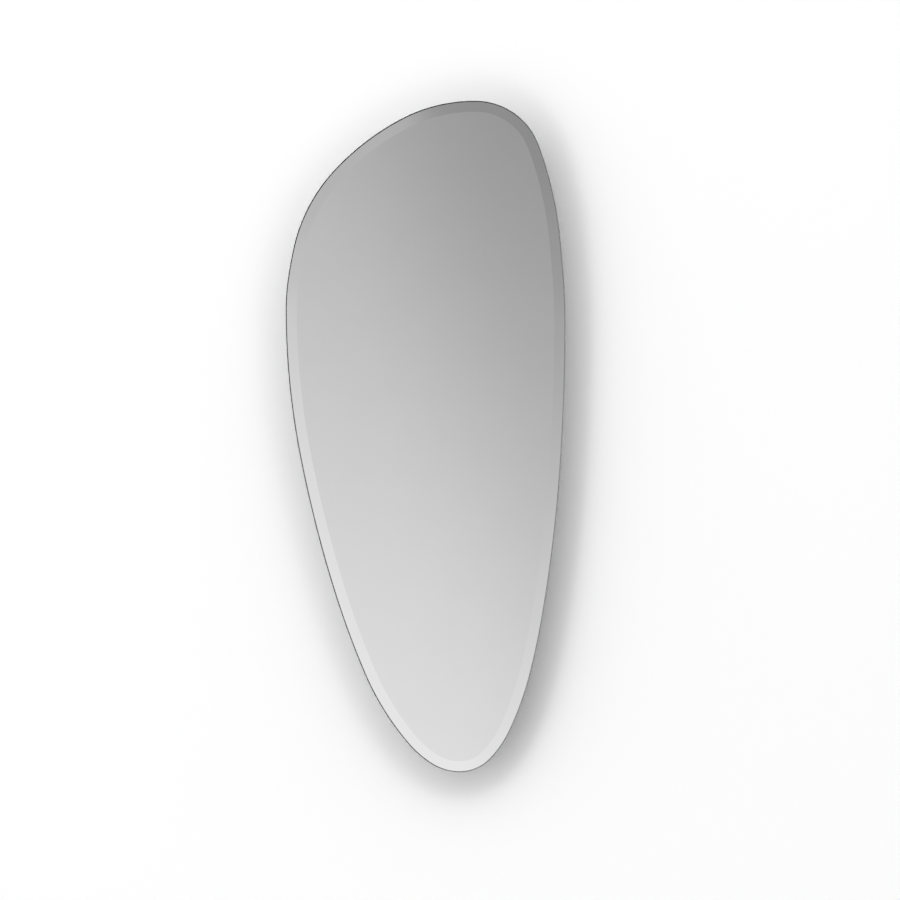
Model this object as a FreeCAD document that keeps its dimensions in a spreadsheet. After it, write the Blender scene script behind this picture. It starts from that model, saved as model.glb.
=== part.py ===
import FreeCAD, Part
import math
import os
import re

import Sketcher
from FreeCAD import Placement, Rotation, Vector

# Frameless wall mirror with an irregular, leaf-like outline and a wide polished bevel.
#
# From the room to the wall it is made of: a silvered pane with a bevel and ground edges, a safety film on its
# back, strips of foam tape and beads of mirror adhesive, a backing board set in from the edge, and a Z-shaped
# rail that is screwed to the board and hooks over a matching rail on the wall. Two rubber bumpers keep the
# foot of the board as far from the wall as the closed rails do.
#
# Millimetres. +X is to the right as seen from the room, +Z is up, and the room is towards -Y. The origin is
# the middle of the wall rail's row of screw holes, on the wall.

SIZES = (
    ("mirror_width", 500, "glass, side to side"),
    ("mirror_height", 1200, "glass, bottom to top"),
    ("glass_thickness", 5, "silvered float glass"),
    ("bevel_width", 20, "polished bevel, from the edge of the glass inwards"),
    ("bevel_depth", 2, "how much the bevel thins the glass"),
    ("front_arris_width", 2, "ground corner between bevel and edge, from the edge inwards"),
    ("front_arris_depth", 1.3, "ground corner between bevel and edge, across the edge"),
    ("back_arris", 0.5, "ground corner at the back of the edge"),
    ("film_thickness", 0.2, "safety film that holds broken glass together"),
    ("film_inset", 3, "edge of the glass to the edge of the film"),
    ("tape_thickness", 1.5, "foam tape, and so the adhesive beads beside it"),
    ("tape_width", 25, "foam tape"),
    ("bead_width", 12, "pressed bead of mirror adhesive"),
    ("bead_length", 120, "one bead, end to end"),
    ("bead_spacing", 50, "least distance between two beads of a column"),
    ("column_pitch", 70, "between a column of tape and the next of beads"),
    ("column_margin", 20, "edge of the board to the ends of tape and beads"),
    ("board_inset", 45, "edge of the glass to the edge of the board"),
    ("board_thickness", 12, "medium-density fibreboard"),
    ("board_chamfer", 3, "bevelled back edge of the board"),
    ("top_above_screws", 380, "top of the glass above the wall screws"),
    ("rail_length", 300, "both rails"),
    ("rail_wall", 2.5, "thickness of the extruded rails"),
    ("lip_slack", 0.7, "how much wider a rail's slot is than the lip in it"),
    ("rail_play", 0.3, "gap between the two hooked lips"),
    ("lip_height", 12, "how deep the lips hook into each other"),
    ("lip_lead", 0.6, "chamfers on the tip of a lip"),
    ("rail_round", 0.8, "rounded outer corners of a rail"),
    ("flange_height", 25, "flat part of a rail that takes the screws"),
    ("hole_width", 5, "screw holes in the rails"),
    ("hole_sink", 8.4, "mouth of the rails' countersinks"),
    ("hole_pitch", 80, "between the screw holes"),
    ("hole_count", 4, "screw holes in a rail"),
    ("screw_width", 4, "shank of the screws"),
    ("screw_length", 12, "countersunk screws over all, bumper screws under the head"),
    ("screw_tip", 3, "length of a screw's point"),
    ("sunk_head_width", 8, "countersunk head"),
    ("pan_head_width", 7.5, "head of a bumper screw"),
    ("pan_head_height", 1.8, "head of a bumper screw"),
    ("recess_reach", 2.2, "middle of a head to the tip of its cross recess"),
    ("recess_blade", 0.5, "half the width of a blade of the cross recess"),
    ("recess_depth", 1.3, "cross recess"),
    ("screw_play", 0.1, "clearance round a screw's shank and under a sunk head"),
    ("pilot_spare", 0.5, "pilot hole beyond the point of its screw"),
    ("bumper_width", 24, "rubber bumpers"),
    ("bumper_chamfer", 1.5, "edge of a bumper at the wall"),
    ("bumper_pocket", 3.3, "depth of the pocket for washer and screw head"),
    ("bumper_rise", 170, "bumpers above the bottom of the glass"),
    ("bumper_margin", 32, "edge of the board to the middle of a bumper"),
    ("washer_width", 11, "washer in a bumper"),
    ("washer_thickness", 1, "washer in a bumper"),
    ("pocket_play", 0.5, "clearance round a washer in its pocket"),
)

# Outline of the glass, anticlockwise from its right-hand extreme. Each point is given across and up from the
# middle of the box round the glass, as shares of half its width and half its height, with the direction of
# travel there in degrees, measured with that box drawn as a square. Two tangent arcs join a point to the next.
OUTLINE = (
    (1.000, 0.335, 90.0),
    (0.960, 0.600, 104.0),
    (0.355, 1.000, 180.0),
    (-0.155, 0.950, -168.0),
    (-0.945, 0.560, -117.5),
    (-1.000, 0.380, -90.0),
    (-0.650, -0.465, -53.0),
    (-0.125, -0.915, -26.0),
    (0.245, -1.000, 0.0),
    (0.605, -0.875, 41.5),
    (0.835, -0.540, 67.5),
)

# How far each layer stands off the wall, and where the rail on the board sits above the one on the wall.
RAIL_STEP = "(rail_wall + lip_slack)"
BOARD_BACK = f"(2 * {RAIL_STEP} - rail_play)"
BOARD_FRONT = f"({BOARD_BACK} + board_thickness)"
FILM_BACK = f"({BOARD_FRONT} + tape_thickness)"
GLASS_BACK = f"({FILM_BACK} + film_thickness)"
MIRROR_RISE = "(top_above_screws - mirror_height / 2)"
RAIL_RISE = "(flange_height + 2 * rail_wall + lip_height)"
ROW_LENGTH = "(hole_pitch * (hole_count - 1))"
SUNK_HEAD_DROP = "((hole_sink - sunk_head_width) / 2)"

# The front corner of the glass is first ground off to this width, on the arris's slope, before the bevel.
ARRIS_SLOPE = "(front_arris_width / front_arris_depth)"
GROUND_WIDTH = f"((bevel_depth + front_arris_depth) * {ARRIS_SLOPE})"
TIGHT = 1e-6

DOC = FreeCAD.newDocument("irregular_mirror")
SHEET = DOC.addObject("Spreadsheet::Sheet", "Sizes")


def fill_sheet():
    """Write the driving sizes to the sheet: name, value under that alias, and what it is."""
    for row, (alias, value, note) in enumerate(SIZES, start=1):
        SHEET.set(f"A{row}", alias)
        SHEET.set(f"B{row}", str(value))
        SHEET.setAlias(f"B{row}", alias)
        SHEET.set(f"C{row}", note)
    DOC.recompute()


def linked(expression):
    """The expression with every size name pointing to its cell."""
    return re.sub(r"[a-z_]+", r"Sizes.\g<0>", expression)


def mm(expression):
    """Value of an expression of size names."""
    return float(SHEET.evalExpression(linked(expression)))


def bind(item, **formulas):
    """Tie properties of a feature to the sheet."""
    for name, expression in formulas.items():
        item.setExpression(name, linked(expression))


def new_body(name, x="0", y="0", z="0", turn=None):
    """Body with its own label, placed by expressions."""
    body = DOC.addObject("PartDesign::Body", name)
    body.Label = name
    if turn:
        body.Placement = Placement(Vector(), turn)
    for axis, expression in zip("xyz", (x, y, z)):
        body.setExpression(f"Placement.Base.{axis}", linked(expression))
    return body


def new_sketch(body, role, name, out="0"):
    """Sketch on one of the body's own origin planes, moved out along the plane's normal."""
    sketch = body.newObject("Sketcher::SketchObject", name)
    plane = next(item for item in body.Origin.OriginFeatures if item.Role == role)
    sketch.AttachmentSupport = [(plane, "")]
    sketch.MapMode = "FlatFace"
    sketch.setExpression("AttachmentOffset.Base.z", linked(out))
    return sketch


def draw_polygon(sketch, corners):
    """Closed polygon whose corners, given as pairs of expressions, are tied to the sheet."""
    points = [Vector(mm(across), mm(up), 0) for across, up in corners]
    first = sketch.GeometryCount
    for start, end in zip(points, points[1:] + points[:1]):
        sketch.addGeometry(Part.LineSegment(start, end), False)
    for step, (across, up) in enumerate(corners):
        line = first + step
        following = first + (step + 1) % len(corners)
        sketch.addConstraint(Sketcher.Constraint("Coincident", line, 2, following, 1))
        for kind, expression in (("DistanceX", across), ("DistanceY", up)):
            index = sketch.addConstraint(Sketcher.Constraint(kind, -1, 1, line, 1, mm(expression)))
            sketch.setExpression(f"Constraints[{index}]", linked(expression))


def draw_circles(sketch, centres, width):
    """Circles at the given centres, with their diameter tied to the sheet."""
    for centre in centres:
        circle = sketch.addGeometry(Part.Circle(centre, Vector(0, 0, 1), mm(width) / 2), False)
        index = sketch.addConstraint(Sketcher.Constraint("Diameter", circle, mm(width)))
        sketch.setExpression(f"Constraints[{index}]", linked(width))


def draw_arcs(sketch, arcs):
    """Closed chain of arcs, each tangent to the next."""
    sketch.addGeometry(arcs, False)
    for index in range(len(arcs)):
        following = (index + 1) % len(arcs)
        sketch.addConstraint(Sketcher.Constraint("Tangent", index, 2, following, 1))


def pad(body, sketch, name, length):
    """Pad along the sketch's normal."""
    feature = body.newObject("PartDesign::Pad", name)
    feature.Profile = sketch
    bind(feature, Length=length)
    DOC.recompute()
    return feature


def revolve(body, sketch, name):
    """Full turn of a profile about its sketch's vertical axis."""
    feature = body.newObject("PartDesign::Revolution", name)
    feature.Profile = sketch
    feature.ReferenceAxis = (sketch, ["V_Axis"])
    feature.Angle = 360
    DOC.recompute()
    return feature


def pocket(body, sketch, name, depth):
    """Pocket towards the room, checked to take material away."""
    before = body.Shape.Volume
    feature = body.newObject("PartDesign::Pocket", name)
    feature.Profile = sketch
    feature.Reversed = True
    bind(feature, Length=depth)
    DOC.recompute()
    if feature.Shape.Volume > before - TIGHT:
        raise RuntimeError(f"{name} cuts nothing")
    return feature


def row_along_x(body, features, sketch, length, count):
    """Repeat features in a row that starts where they are and runs along +X."""
    pattern = body.newObject("PartDesign::LinearPattern", f"{body.Label}_row")
    pattern.Originals = features
    pattern.Direction = (sketch, ["H_Axis"])
    pattern.Length = length
    pattern.Occurrences = count
    body.Tip = pattern
    DOC.recompute()
    return pattern


def chamfer(body, base, name, y, side, across=None):
    """Chamfer all edges of the base that lie in the plane at y, equally unless a setback across is given."""
    feature = body.newObject("PartDesign::Chamfer", name)
    feature.Base = (base, edges_where(base.Shape, lambda box: abs(box.YMin - y) + abs(box.YMax - y) < TIGHT))
    bind(feature, Size=side)
    if across:
        feature.ChamferType = "Two distances"
        bind(feature, Size2=across)
    DOC.recompute()
    return feature


def edges_where(shape, wanted):
    """Names of the edges whose boxes pass the test."""
    return [f"Edge{number}" for number, edge in enumerate(shape.Edges, start=1) if wanted(edge.BoundBox)]


def edges_along_x(shape, corners):
    """Names of the edges that run along X through the given (y, z) corners of a profile."""

    def wanted(box):
        return any(
            abs(box.YMin - y) + abs(box.YMax - y) + abs(box.ZMin - z) + abs(box.ZMax - z) < TIGHT
            for y, z in corners
        )

    return edges_where(shape, wanted)


def outline_stations():
    """Points and directions round the glass: the chosen ones and, after each, where its two arcs meet.

    Both arcs of a pair have equal arms: the distances from an end to where its tangent meets the common one.
    """
    half = Vector(mm("mirror_width") / 2, mm("mirror_height") / 2, 0)
    chosen = []
    for across, up, angle in OUTLINE:
        turn = math.radians(angle)
        way = Vector(math.cos(turn) * half.x, math.sin(turn) * half.y, 0).normalize()
        chosen.append((Vector(across * half.x, up * half.y, 0), way))
    stations = []
    for (start, leaving), (end, arriving) in zip(chosen, chosen[1:] + chosen[:1]):
        gap = end - start
        spread = 2 * (1 - leaving.dot(arriving))
        along = gap.dot(leaving + arriving)
        arm = (math.sqrt(along**2 + spread * gap.dot(gap)) - along) / spread
        meeting = (start + end + (leaving - arriving) * arm) / 2
        way = ((end - arriving * arm) - (start + leaving * arm)).normalize()
        stations += [(start, leaving), (meeting, way)]
    return stations


def outline_arcs(inset="0"):
    """Arcs of the outline, drawn in by an inset: each keeps its centre, and its radius shrinks."""
    shift = mm(inset)
    stations = outline_stations()
    arcs = []
    for (start, leaving), (end, arriving) in zip(stations, stations[1:] + stations[:1]):
        chord = end - start
        along = Vector(chord).normalize()
        facing = leaving.dot(along)
        bulge = (leaving - along * facing) * (chord.Length / 2 / (1 + facing))
        middle = (start + end) / 2 + bulge
        travel = ((start, leaving), (middle, along), (end, arriving))
        arcs.append(Part.Arc(*[point + Vector(-way.y, way.x, 0) * shift for point, way in travel]))
    return arcs


def outline_face(inset="0"):
    """Flat face inside the outline, drawn in by an inset."""
    return Part.Face(Part.Wire([arc.toShape() for arc in outline_arcs(inset)]))


def chord_at_height(face, height):
    """Left and right ends of a level line across the face."""
    reach = mm("mirror_width")
    box = face.common(Part.makeLine(Vector(-reach, height, 0), Vector(reach, height, 0))).BoundBox
    return box.XMin, box.XMax


def rise_of_column(face, middle, width):
    """Lowest and highest ends of an upright column that stays on the face."""
    reach = mm("mirror_height")
    lows = []
    highs = []
    for x in (middle - width / 2, middle + width / 2):
        box = face.common(Part.makeLine(Vector(x, -reach, 0), Vector(x, reach, 0))).BoundBox
        lows.append(box.YMin)
        highs.append(box.YMax)
    return max(lows), min(highs)


def balance():
    """How far right of the middle of its box the glass balances: the rails are centred there."""
    return outline_face().CenterOfMass.x


def mirror_body(name, back):
    """Body in the frame of the glass: origin at the middle of its box, on the layer's back."""
    return new_body(name, x=f"{-balance():.6f}", y=f"-{back}", z=MIRROR_RISE)


def sheet_body(name, inset, back, thickness):
    """Body of one layer: the outline drawn in by an inset and given a thickness towards the room."""
    body = mirror_body(name, back)
    sketch = new_sketch(body, "XZ_Plane", f"{name}_outline")
    draw_arcs(sketch, outline_arcs(inset))
    return body, pad(body, sketch, f"{name}_sheet", thickness)


def make_glass():
    """Pane with both corners of its edge ground and a wide bevel polished into its face.

    The front corner is first ground off as deep as bevel and arris together. The bevel then takes all of that
    slope but the arris, so its setback there is the bevel's depth along the slope.
    """
    body, pane = sheet_body("mirror_glass", "0", GLASS_BACK, "glass_thickness")
    front = -mm("glass_thickness")
    eased = chamfer(body, pane, "back_arris", 0, "back_arris")
    ground = chamfer(body, eased, "front_arris", front, "bevel_depth + front_arris_depth", GROUND_WIDTH)
    along_slope = f"bevel_depth * (1 + {ARRIS_SLOPE} ^ 2) ^ 0.5"
    chamfer(body, ground, "bevel", front, along_slope, f"bevel_width - {GROUND_WIDTH}")


def make_film():
    """Thin film glued over the back of the glass."""
    sheet_body("safety_film", "film_inset", FILM_BACK, "film_thickness")


def columns():
    """Middles of the upright columns of tape (even) and beads (odd), left to right in the glass's frame."""
    room = mm("mirror_width / 2 - board_inset - column_margin - tape_width")
    count = int(room // mm("column_pitch"))
    return [(step, balance() + step * mm("column_pitch")) for step in range(-count, count + 1)]


def make_tape():
    """Upright strips of foam tape that hold the pane while the adhesive sets."""
    body = mirror_body("mounting_tape", BOARD_FRONT)
    face = outline_face("board_inset + column_margin")
    sketch = new_sketch(body, "XZ_Plane", "tape_strips")
    width = mm("tape_width")
    for step, middle in columns():
        if step % 2 == 0:
            low, high = rise_of_column(face, middle, width)
            left = middle - width / 2
            right = middle + width / 2
            corners = [Vector(x, z, 0) for x, z in ((left, low), (right, low), (right, high), (left, high))]
            for start, end in zip(corners, corners[1:] + corners[:1]):
                sketch.addGeometry(Part.LineSegment(start, end), False)
    pad(body, sketch, "tape", "tape_thickness")


def make_adhesive():
    """Columns of pressed adhesive beads with round ends, between the strips of tape."""
    body = mirror_body("mirror_adhesive", BOARD_FRONT)
    face = outline_face("board_inset + column_margin")
    sketch = new_sketch(body, "XZ_Plane", "adhesive_beads")
    radius = mm("bead_width / 2")
    length = mm("bead_length")
    for step, middle in columns():
        if step % 2:
            low, high = rise_of_column(face, middle, 2 * radius)
            count = int((high - low + mm("bead_spacing")) // (length + mm("bead_spacing")))
            pitch = (high - low - length) / max(count - 1, 1)
            for bead in range(count):
                draw_bead(sketch, middle, low + bead * pitch, length, radius)
    pad(body, sketch, "beads", "tape_thickness")


def draw_bead(sketch, middle, low, length, radius):
    """Upright slot shape: two straight sides and two round ends."""
    bottom = low + radius
    top = low + length - radius
    right = Vector(radius, 0, 0)
    up = Vector(0, radius, 0)
    foot = Vector(middle, bottom, 0)
    head = Vector(middle, top, 0)
    sketch.addGeometry(Part.Arc(foot - right, foot - up, foot + right), False)
    sketch.addGeometry(Part.LineSegment(foot + right, head + right), False)
    sketch.addGeometry(Part.Arc(head + right, head + up, head - right), False)
    sketch.addGeometry(Part.LineSegment(head - right, foot - right), False)


def bumper_centres():
    """X of the left and the right bumper, and their height, in the glass's frame."""
    height = mm("bumper_rise - mirror_height / 2")
    left, right = chord_at_height(outline_face("board_inset"), height)
    margin = mm("bumper_margin")
    return left + margin, right - margin, height


def hole_centres():
    """X of the rails' screw holes."""
    pitch = mm("hole_pitch")
    count = int(mm("hole_count"))
    return [(step - (count - 1) / 2) * pitch for step in range(count)]


def make_board():
    """Fibreboard behind the glass, with a bevelled back edge and pilot holes for both kinds of screw."""
    body, board = sheet_body("backing_board", "board_inset", BOARD_BACK, "board_thickness")
    chamfer(body, board, "back_bevel", 0, "board_chamfer")
    rail_height = mm(f"{RAIL_RISE} - {MIRROR_RISE}")
    left, right, foot = bumper_centres()
    rows = (
        ("rail_pilots", [Vector(x + balance(), rail_height, 0) for x in hole_centres()],
         f"screw_length + pilot_spare - rail_wall + {SUNK_HEAD_DROP}"),
        ("bumper_pilots", [Vector(x, foot, 0) for x in (left, right)],
         f"screw_length + pilot_spare - washer_thickness - {BOARD_BACK} + bumper_pocket"),
    )
    for name, centres, depth in rows:
        sketch = new_sketch(body, "XZ_Plane", name)
        draw_circles(sketch, centres, "screw_width + 2 * screw_play")
        pocket(body, sketch, f"{name}_bored", depth)


def make_rail(name, **place):
    """Extruded Z-shaped rail: a flange against its mount, a step away from it, and a lip behind a slot."""
    body = new_body(name, **place)
    outer = f"-{RAIL_STEP} - rail_wall"
    shelf = "flange_height / 2"
    slot_floor = "flange_height / 2 + rail_wall"
    tip = f"{slot_floor} + lip_height"
    profile = new_sketch(body, "YZ_Plane", f"{name}_profile")
    draw_polygon(profile, (
        ("0", "-flange_height / 2"),
        ("-rail_wall", "-flange_height / 2"),
        ("-rail_wall", shelf),
        (outer, shelf),
        (outer, tip),
        (f"-{RAIL_STEP}", tip),
        (f"-{RAIL_STEP}", slot_floor),
        ("0", slot_floor),
    ))
    bar = pad(body, profile, f"{name}_bar", "rail_length")
    bar.Midplane = True
    DOC.recompute()
    rounds = body.newObject("PartDesign::Fillet", f"{name}_corners")
    rounds.Base = (bar, edges_along_x(bar.Shape, ((mm(outer), mm(shelf)), (0, mm(slot_floor)))))
    bind(rounds, Radius="rail_round")
    DOC.recompute()
    lead = body.newObject("PartDesign::Chamfer", f"{name}_lead_in")
    lead.Base = (rounds, edges_along_x(rounds.Shape, ((mm(outer), mm(tip)), (-mm(RAIL_STEP), mm(tip)))))
    bind(lead, Size="lip_lead")
    DOC.recompute()
    drill_rail(body)


def drill_rail(body):
    """Row of countersunk holes through the flange, sunk from the side away from the mount."""
    before = body.Shape.Volume
    sketch = new_sketch(body, "XZ_Plane", f"{body.Label}_hole_place", out="rail_wall")
    draw_circles(sketch, [Vector(hole_centres()[0], 0, 0)], "hole_width")
    DOC.recompute()
    hole = body.newObject("PartDesign::Hole", f"{body.Label}_hole")
    hole.Profile = sketch
    DOC.recompute()
    hole.DepthType = "ThroughAll"
    hole.HoleCutType = "Countersink"
    hole.HoleCutCountersinkAngle = 90
    bind(hole, Diameter="hole_width", HoleCutDiameter="hole_sink")
    DOC.recompute()
    if hole.Shape.Volume > before - TIGHT:
        raise RuntimeError(f"{hole.Label} cuts nothing")
    row = row_along_x(body, [hole], sketch, mm(ROW_LENGTH), int(mm("hole_count")))
    bind(row, Length=ROW_LENGTH, Occurrences="hole_count")


def cross_recess(body, top):
    """Cross recess in a screw head whose top is at the given height above the body's origin plane."""
    tip = "recess_reach"
    blade = "recess_blade"
    quarter = ((blade, tip), (blade, blade), (tip, blade))
    corners = list(quarter)
    corners += [(x, f"-{z}") for x, z in reversed(quarter)]
    corners += [(f"-{x}", f"-{z}") for x, z in quarter]
    corners += [(f"-{x}", z) for x, z in reversed(quarter)]
    sketch = new_sketch(body, "XZ_Plane", f"{body.Label}_cross", out=f"-{top}")
    draw_polygon(sketch, corners)
    return sketch, pocket(body, sketch, f"{body.Label}_recess", "recess_depth")


def make_rail_screws():
    """Countersunk screws that hold the upper rail to the board."""
    seat = f"{BOARD_BACK} - rail_wall + {SUNK_HEAD_DROP} - screw_play"
    body = new_body("mirror_rail_screws", x=f"{hole_centres()[0]:.6f}", y=f"-({seat})", z=RAIL_RISE)
    profile = new_sketch(body, "XY_Plane", "rail_screw_profile")
    draw_polygon(profile, (
        ("0", "0"),
        ("sunk_head_width / 2", "0"),
        ("screw_width / 2", "-(sunk_head_width - screw_width) / 2"),
        ("screw_width / 2", "-(screw_length - screw_tip)"),
        ("0", "-screw_length"),
    ))
    turned = revolve(body, profile, "rail_screw")
    sketch, recess = cross_recess(body, "0")
    row = row_along_x(body, [turned, recess], sketch, mm(ROW_LENGTH), int(mm("hole_count")))
    bind(row, Length=ROW_LENGTH, Occurrences="hole_count")


def bumper_place(x):
    """Position of something centred on a bumper, as expressions."""
    return {"x": f"{x - balance():.6f}", "z": "bumper_rise - mirror_height / 2 + " + MIRROR_RISE}


def make_bumpers():
    """Rubber bumpers as deep as the closed rails, each with a pocket for its washer and screw."""
    left, right, _ = bumper_centres()
    bore = "screw_width / 2 + screw_play"
    pocket_wall = "washer_width / 2 + pocket_play"
    for name, x in (("bumper_left", left), ("bumper_right", right)):
        body = new_body(name, **bumper_place(x))
        profile = new_sketch(body, "XY_Plane", f"{name}_profile")
        draw_polygon(profile, (
            (bore, f"-{BOARD_BACK}"),
            ("bumper_width / 2", f"-{BOARD_BACK}"),
            ("bumper_width / 2", "-bumper_chamfer"),
            ("bumper_width / 2 - bumper_chamfer", "0"),
            (pocket_wall, "0"),
            (pocket_wall, "-bumper_pocket"),
            (bore, "-bumper_pocket"),
        ))
        revolve(body, profile, f"{name}_rubber")


def make_bumper_washers():
    """Steel washers that spread the screws' pull over the rubber."""
    left, right, _ = bumper_centres()
    body = new_body("bumper_washers", y="-bumper_pocket", **bumper_place(left))
    profile = new_sketch(body, "XY_Plane", "washer_profile")
    draw_polygon(profile, (
        ("screw_width / 2 + screw_play", "0"),
        ("washer_width / 2", "0"),
        ("washer_width / 2", "washer_thickness"),
        ("screw_width / 2 + screw_play", "washer_thickness"),
    ))
    ring = revolve(body, profile, "washer")
    row_along_x(body, [ring], profile, right - left, 2)


def make_bumper_screws():
    """Pan-head screws through washer and bumper into the board."""
    left, right, _ = bumper_centres()
    body = new_body("bumper_screws", y="washer_thickness - bumper_pocket", **bumper_place(left))
    profile = new_sketch(body, "XY_Plane", "bumper_screw_profile")
    draw_polygon(profile, (
        ("0", "pan_head_height"),
        ("pan_head_width / 3", "pan_head_height"),
        ("pan_head_width / 2", "pan_head_height / 2"),
        ("pan_head_width / 2", "0"),
        ("screw_width / 2", "0"),
        ("screw_width / 2", "-(screw_length - screw_tip)"),
        ("0", "-screw_length"),
    ))
    turned = revolve(body, profile, "bumper_screw")
    sketch, recess = cross_recess(body, "pan_head_height")
    row_along_x(body, [turned, recess], sketch, right - left, 2)


def make_rails():
    """The same rail twice: on the wall, and turned over on the board so that the lips hook together."""
    make_rail("wall_rail")
    make_rail("mirror_rail", y=f"-{BOARD_BACK}", z=RAIL_RISE, turn=Rotation(Vector(1, 0, 0), 180))


def check_document():
    """Stop if any object failed or any sub-part has no valid shape."""
    DOC.recompute()
    for item in DOC.Objects:
        if "Invalid" in item.State or "Error" in item.State:
            raise RuntimeError(f"{item.Label} failed: {item.State}")
    for body in DOC.findObjects("PartDesign::Body"):
        if body.Shape.isNull() or not body.Shape.isValid() or not body.Shape.Solids:
            raise RuntimeError(f"{body.Label} has no valid solid")


def write_parts():
    """One STEP file per sub-part, named after it."""
    os.makedirs("parts", exist_ok=True)
    for body in DOC.findObjects("PartDesign::Body"):
        body.Shape.exportStep(f"parts/{body.Label}.step")
        print(f"{body.Label}: {len(body.Shape.Solids)} solid(s), {body.Shape.Volume / 1000:.2f} cm3")


def main():
    fill_sheet()
    make_glass()
    make_film()
    make_tape()
    make_adhesive()
    make_board()
    make_rails()
    make_rail_screws()
    make_bumpers()
    make_bumper_washers()
    make_bumper_screws()
    check_document()
    write_parts()


main()
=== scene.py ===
import math

import bpy
import numpy as np
from bpy.props import FloatProperty, FloatVectorProperty, IntProperty, PointerProperty, StringProperty
from mathutils import Matrix, Vector


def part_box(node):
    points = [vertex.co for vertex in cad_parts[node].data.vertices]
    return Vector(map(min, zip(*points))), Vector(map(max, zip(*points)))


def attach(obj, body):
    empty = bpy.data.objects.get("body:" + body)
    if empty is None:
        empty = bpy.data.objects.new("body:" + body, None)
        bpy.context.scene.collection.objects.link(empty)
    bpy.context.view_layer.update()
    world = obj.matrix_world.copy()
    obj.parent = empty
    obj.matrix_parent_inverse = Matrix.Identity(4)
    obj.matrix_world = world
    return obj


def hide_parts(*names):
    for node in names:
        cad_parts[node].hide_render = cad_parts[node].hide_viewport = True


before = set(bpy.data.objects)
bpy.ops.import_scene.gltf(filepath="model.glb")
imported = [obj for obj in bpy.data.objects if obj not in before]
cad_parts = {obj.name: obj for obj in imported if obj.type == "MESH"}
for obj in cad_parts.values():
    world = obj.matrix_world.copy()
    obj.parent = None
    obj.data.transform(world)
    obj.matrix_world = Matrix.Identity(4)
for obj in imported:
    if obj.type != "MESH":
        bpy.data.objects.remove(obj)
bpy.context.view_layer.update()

bl_info = {
    "name": "Irregular wall mirror",
    "version": (1, 0, 0),
    "blender": (4, 5, 0),
    "location": "3D View > Sidebar > Mirror",
    "description": "Bevelled wall mirror with its backing board, hanging rails and studio",
    "category": "Object",
}

MM = 0.001

# Outline of the glass, anticlockwise from its right-hand extreme: points as shares of half the width and
# half the height, and directions of travel in degrees with the box round the glass drawn as a square.
OUTLINE = np.array((
    (1.000, 0.335, 90.0),
    (0.960, 0.600, 104.0),
    (0.355, 1.000, 180.0),
    (-0.155, 0.950, -168.0),
    (-0.945, 0.560, -117.5),
    (-1.000, 0.380, -90.0),
    (-0.650, -0.465, -53.0),
    (-0.125, -0.915, -26.0),
    (0.245, -1.000, 0.0),
    (0.605, -0.875, 41.5),
    (0.835, -0.540, 67.5),
))

GLASS_LOW, GLASS_HIGH = (np.array(corner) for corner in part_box("mirror_glass"))
FILM_LOW, FILM_HIGH = (np.array(corner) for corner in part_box("safety_film"))
BOARD_LOW, BOARD_HIGH = (np.array(corner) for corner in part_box("backing_board"))
WIDTH = GLASS_HIGH[0] - GLASS_LOW[0]

# Width of the faces between a sheet's edge and the fan that closes its middle.
BORDER = 20 * MM

# Where the lights behind the plane of the wall shine from, and how wide they look.
TOP_LIGHT = (0.15, 0.45, 0.88)
LEFT_LIGHT = (-0.93, 0.30, 0.20)
RIGHT_LIGHT = (0.93, 0.30, 0.20)
TOP_LIGHT_SPREAD = math.radians(40)
SIDE_LIGHT_SPREAD = math.radians(50)

# A direction that leans less than this to one side of the wall counts as lying in its plane.
IN_PLANE = 0.05


def linear(colour):
    """sRGB hex, such as #C8C8C8, as linear RGB with alpha 1."""
    shares = np.array([int(colour[place:place + 2], 16) for place in (1, 3, 5)]) / 255
    values = np.where(shares <= 0.04045, shares / 12.92, ((shares + 0.055) / 1.055) ** 2.4)
    return (*values.tolist(), 1.0)


# ---------------------------------------------------------------- settings


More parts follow.
